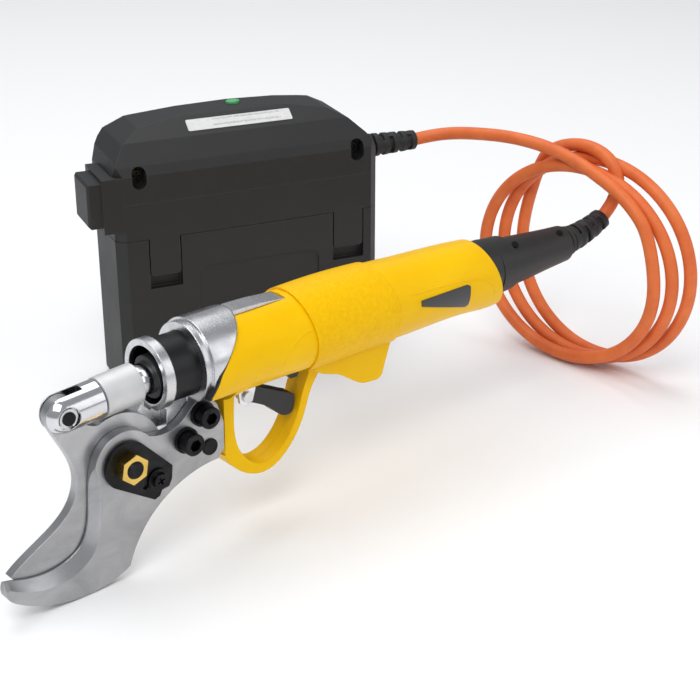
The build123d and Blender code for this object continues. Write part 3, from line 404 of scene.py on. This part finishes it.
relief = bmesh.new()
flange_u, flange_size = 75.55, (3.0, 19.0, 13.4)
for vert in bmesh.ops.create_cube(relief, size=1.0)["verts"]:
    along, across, up = (part * size for part, size in zip(vert.co, flange_size))
    vert.co = on_battery(flange_u + along, across, RELIEF_Z + up)
bmesh.ops.bevel(relief, geom=list(relief.edges), offset=0.9 * MM, segments=3, profile=0.5, affect="EDGES")
revolve(relief, on_battery_relief, [(76.6, BORE), (76.6, 6.9), (79.0, 6.5), (79.0, BORE)])
segmented(relief, on_battery_relief, lambda u: 6.55 - (u - 79) * 0.045, begin=80.2, end=106.0,
          count=RELIEF_SLOTS, ring=3.4, sleeve=4.3)
battery_relief = finished(relief, "battery_strain_relief", black_rubber)
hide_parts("battery_relief")

# the plug's relief bends upwards: x, z and tilt along it
PLUG_RELIEF = [(300.2, 83.9, 0.0), (311.0, 84.9, 10.0), (321.5, 87.3, 19.0), (330.4, 90.6, 27.0)]


def on_plug_relief(s):
    """Centre and cross directions of the plug's relief at x = s."""
    for (x0, z0, t0), (x1, z1, t1) in zip(PLUG_RELIEF, PLUG_RELIEF[1:]):
        if s <= x1 or x1 == PLUG_RELIEF[-1][0]:
            share = (s - x0) / (x1 - x0)
            break
    tilt = math.radians(t0 + (t1 - t0) * share)
    lift = Vector((-math.sin(tilt), 0, math.cos(tilt)))
    return at(s, MID_Y, z0 + (z1 - z0) * share), Vector((0, 1, 0)), lift


relief = bmesh.new()
revolve(relief, on_plug_relief, [(300.3, BORE), (300.3, 7.9), (302.6, 7.9), (303.0, 7.4), (303.0, BORE)])
segmented(relief, on_plug_relief, lambda s: 7.4 - (s - 302) * 0.065, begin=304.0, end=330.2,
          count=RELIEF_SLOTS, ring=3.6, sleeve=4.4)
plug_relief = finished(relief, "plug_strain_relief", black_rubber)
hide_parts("plug_relief")

# ---------------------------------------------------------------- raised lines moulded on the housing
SUNK = 0.15                   # how far a bead's centreline lies under the skin, in mm
STEPS_PER_RUN = 6
CAST_FROM = {"left_housing": -60, "right_housing": 75}      # y to look from, clear of each half
depsgraph = bpy.context.evaluated_depsgraph_get()


def raised_line(name, points, radius, material):
    """A half-sunk bead along (x, z) points of the handset, laid on both of the housing's flanks."""
    spots = []
    for (x0, z0), (x1, z1) in zip(points, points[1:]):
        for i in range(STEPS_PER_RUN):
            spots.append((x0 + (x1 - x0) * i / STEPS_PER_RUN, z0 + (z1 - z0) * i / STEPS_PER_RUN))
    spots.append(points[-1])
    for half, cast_y in CAST_FROM.items():
        node = nodes[half]
        tree = BVHTree.FromObject(node, depsgraph)
        to_node = node.matrix_world.inverted()
        towards = to_node.to_3x3() @ Vector((0, math.copysign(1, -cast_y), 0))
        hits = []
        for x, z in spots:
            place, normal, _, _ = tree.ray_cast(to_node @ at(x, cast_y, z), towards)
            if place is not None:
                hits.append(node.matrix_world @ (place - normal * SUNK * MM))
        curve = bpy.data.curves.new(name, "CURVE")
        curve.dimensions = "3D"
        line = curve.splines.new("POLY")
        line.points.add(len(hits) - 1)
        for control, hit in zip(line.points, hits):
            control.co = (*hit, 1)
        curve.bevel_depth = radius * MM
        curve.bevel_resolution = 3
        curve.use_fill_caps = True
        curve.materials.append(material)
        obj = bpy.data.objects.new(f"{name}_{half}", curve)
        scene.collection.objects.link(obj)
        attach(obj, "body")


shell_line = [(98.5, 80.9), (99.6, 84.4), (101.6, 87.7), (104.4, 90.4), (107.6, 92.2), (111.6, 93.3),
              (115.6, 93.6)]
tail_line = [(174.5, 93.5), (182.4, 93.0), (195.4, 92.4), (207.3, 91.5), (217.0, 90.4), (224.0, 88.2),
             (229.2, 84.4), (231.6, 79.6)]
raised_line("shell_crease", shell_line, 0.42, shell)
raised_line("tail_crease", tail_line, 0.40, shell)


# ---------------------------------------------------------------- cable
CABLE = 7.0 * MM
LEAD = [(295.4, 117.0, 115.6), (304.5, 112.8, 117.2), (311.5, 101.5, 119.8), (316.2, 86.5, 121.8),
        (320.8, 70.5, 123.0), (325.4, 54.5, 122.4), (328.8, 38.8, 120.0), (329.8, 24.6, 116.8),
        (329.4, 10.6, 112.8), (329.6, -2.8, 107.6), (330.6, -14.2, 99.6), (331.6, -23.2, 89.0)]
TAIL = [(330.4, 7.4, 90.6), (334.8, 6.0, 95.8), (337.4, 4.8, 102.4), (338.2, 4.0, 110.2),
        (338.0, 7.8, 118.0), (337.8, 15.6, 122.8), (338.0, 25.4, 124.2), (339.4, 37.0, 122.6),
        (341.6, 50.6, 117.6), (343.2, 62.6, 109.6)]
COIL_HEADING = math.radians(-84)
COIL_ACROSS = Vector((math.cos(COIL_HEADING), math.sin(COIL_HEADING), 0))
COIL_AXIS = Vector((-math.sin(COIL_HEADING), math.cos(COIL_HEADING), 0))
COIL_CENTRE = (325.1, 31.4)
COIL_SHIFT = COIL_AXIS * 20.6 + COIL_ACROSS * 19.8       # from the first turn to the last, in mm
COIL_NEAR, COIL_FAR = (60.8, 53.5), (59.2, 59.5)         # half width and half height of the end turns, in mm
COIL_START, COIL_END = 1148.0, 135.0                     # degrees that the whole ring of turns spans
COIL_FIRST, COIL_LAST = 1085.0, 165.0                    # degrees where the cable joins it and leaves it
POINTS_PER_TURN = 16


def coil_point(angle):
    """Where the coil's centreline is at this angle, in the handset's millimetres."""
    t = (COIL_START - angle) / (COIL_START - COIL_END)
    half_width = COIL_NEAR[0] + (COIL_FAR[0] - COIL_NEAR[0]) * t
    half_height = COIL_NEAR[1] + (COIL_FAR[1] - COIL_NEAR[1]) * t
    centre = Vector((*COIL_CENTRE, half_height + CABLE / MM / 2)) + COIL_SHIFT * t
    turn = math.radians(angle)
    return centre + COIL_ACROSS * half_width * math.cos(turn) + UP * half_height * math.sin(turn)


coil_steps = round((COIL_FIRST - COIL_LAST) / 360 * POINTS_PER_TURN)
coil_step = (COIL_LAST - COIL_FIRST) / coil_steps
coil_points = [coil_point(COIL_FIRST + coil_step * i) for i in range(coil_steps + 1)]
route = [at(*p) for p in (*LEAD, *coil_points, *reversed(TAIL))]
cable_curve = bpy.data.curves.new("cable", "CURVE")
cable_curve.dimensions = "3D"
spline = cable_curve.splines.new("NURBS")
spline.points.add(len(route) - 1)
for control, point in zip(spline.points, route):
    control.co = (*point, 1)
spline.order_u = 3
spline.use_endpoint_u = True
spline.resolution_u = 10
cable_curve.bevel_depth = CABLE / 2
cable_curve.bevel_resolution = 8
cable = bpy.data.objects.new("cable", cable_curve)
scene.collection.objects.link(cable)
cable_curve.materials.append(jacket)
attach(cable, "body")
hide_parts("cord_lead", "cord_coil", "cord_tail")

# ---------------------------------------------------------------- floor and light
bpy.ops.mesh.primitive_plane_add(size=14, location=(0, 0, -0.0004))
floor = bpy.context.object
floor.name = "floor"
paper = Finish("floor_paper", 0.75, Specular_IOR_Level=0.1)
paper_white = paper.mix(paper.noise(0.4, 2), (0.90, 0.90, 0.90), (0.92, 0.92, 0.92))
floor.data.materials.append(paper.use(paper_white))

world = bpy.data.worlds.new("world")
world.use_nodes = True
world.node_tree.nodes["Background"].inputs[0].default_value = (0.92, 0.95, 1.0, 1)
world.node_tree.nodes["Background"].inputs[1].default_value = 0.42
scene.world = world


LIGHT_AIM = Vector((0, 0, 0.05))


def soft_light(name, place, size, power):
    """Square soft box that faces the middle of the object."""
    data = bpy.data.lights.new(name, "AREA")
    data.shape = "SQUARE"
    data.size = size
    data.energy = power
    lamp = bpy.data.objects.new(name, data)
    lamp.location = place
    lamp.rotation_euler = (LIGHT_AIM - Vector(place)).to_track_quat("-Z", "Y").to_euler()
    scene.collection.objects.link(lamp)


soft_light("key", (-0.9, -0.7, 1.5), size=1.1, power=17)
soft_light("fill", (0.9, -1.3, 0.8), size=1.2, power=5)
soft_light("top", (0.1, 0.5, 1.7), size=1.4, power=15)
